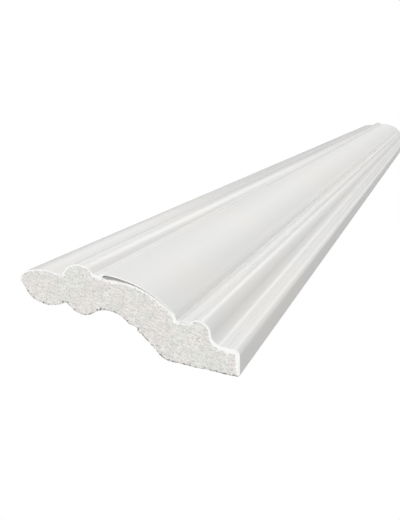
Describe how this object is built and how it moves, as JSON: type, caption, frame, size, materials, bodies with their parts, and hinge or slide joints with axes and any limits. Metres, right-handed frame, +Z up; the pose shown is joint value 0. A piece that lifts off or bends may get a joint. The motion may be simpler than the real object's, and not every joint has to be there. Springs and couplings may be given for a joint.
{
  "type": "crown moulding length",
  "caption": "Length of crown moulding with a large bead, a convex sweep, a torus and a cove, cut square at both ends: a foamed plastic core under a thin smooth film.",
  "frame": {"origin": "centre of the bounding box's bottom face, on the surface that the length lies on", "axes": "+Y along the length, with the cut end that the picture shows facing -Y; -X towards the nose, +X towards the side face; +Z up, with the moulded face up, as the length lies at rest on its first back lobe and its heel"},
  "size_m": [0.116, 1.2, 0.0294],
  "materials": {
    "foam": "off-white cellular foamed polystyrene: matt moulded skin on the back, open cut cells on the ends",
    "film": "white satin-gloss plastic film with faint drawn lines along its length"
  },
  "bodies": {
    "root": {"foam_core": "foam", "face_film": "film"}
  },
  "joints": []
}
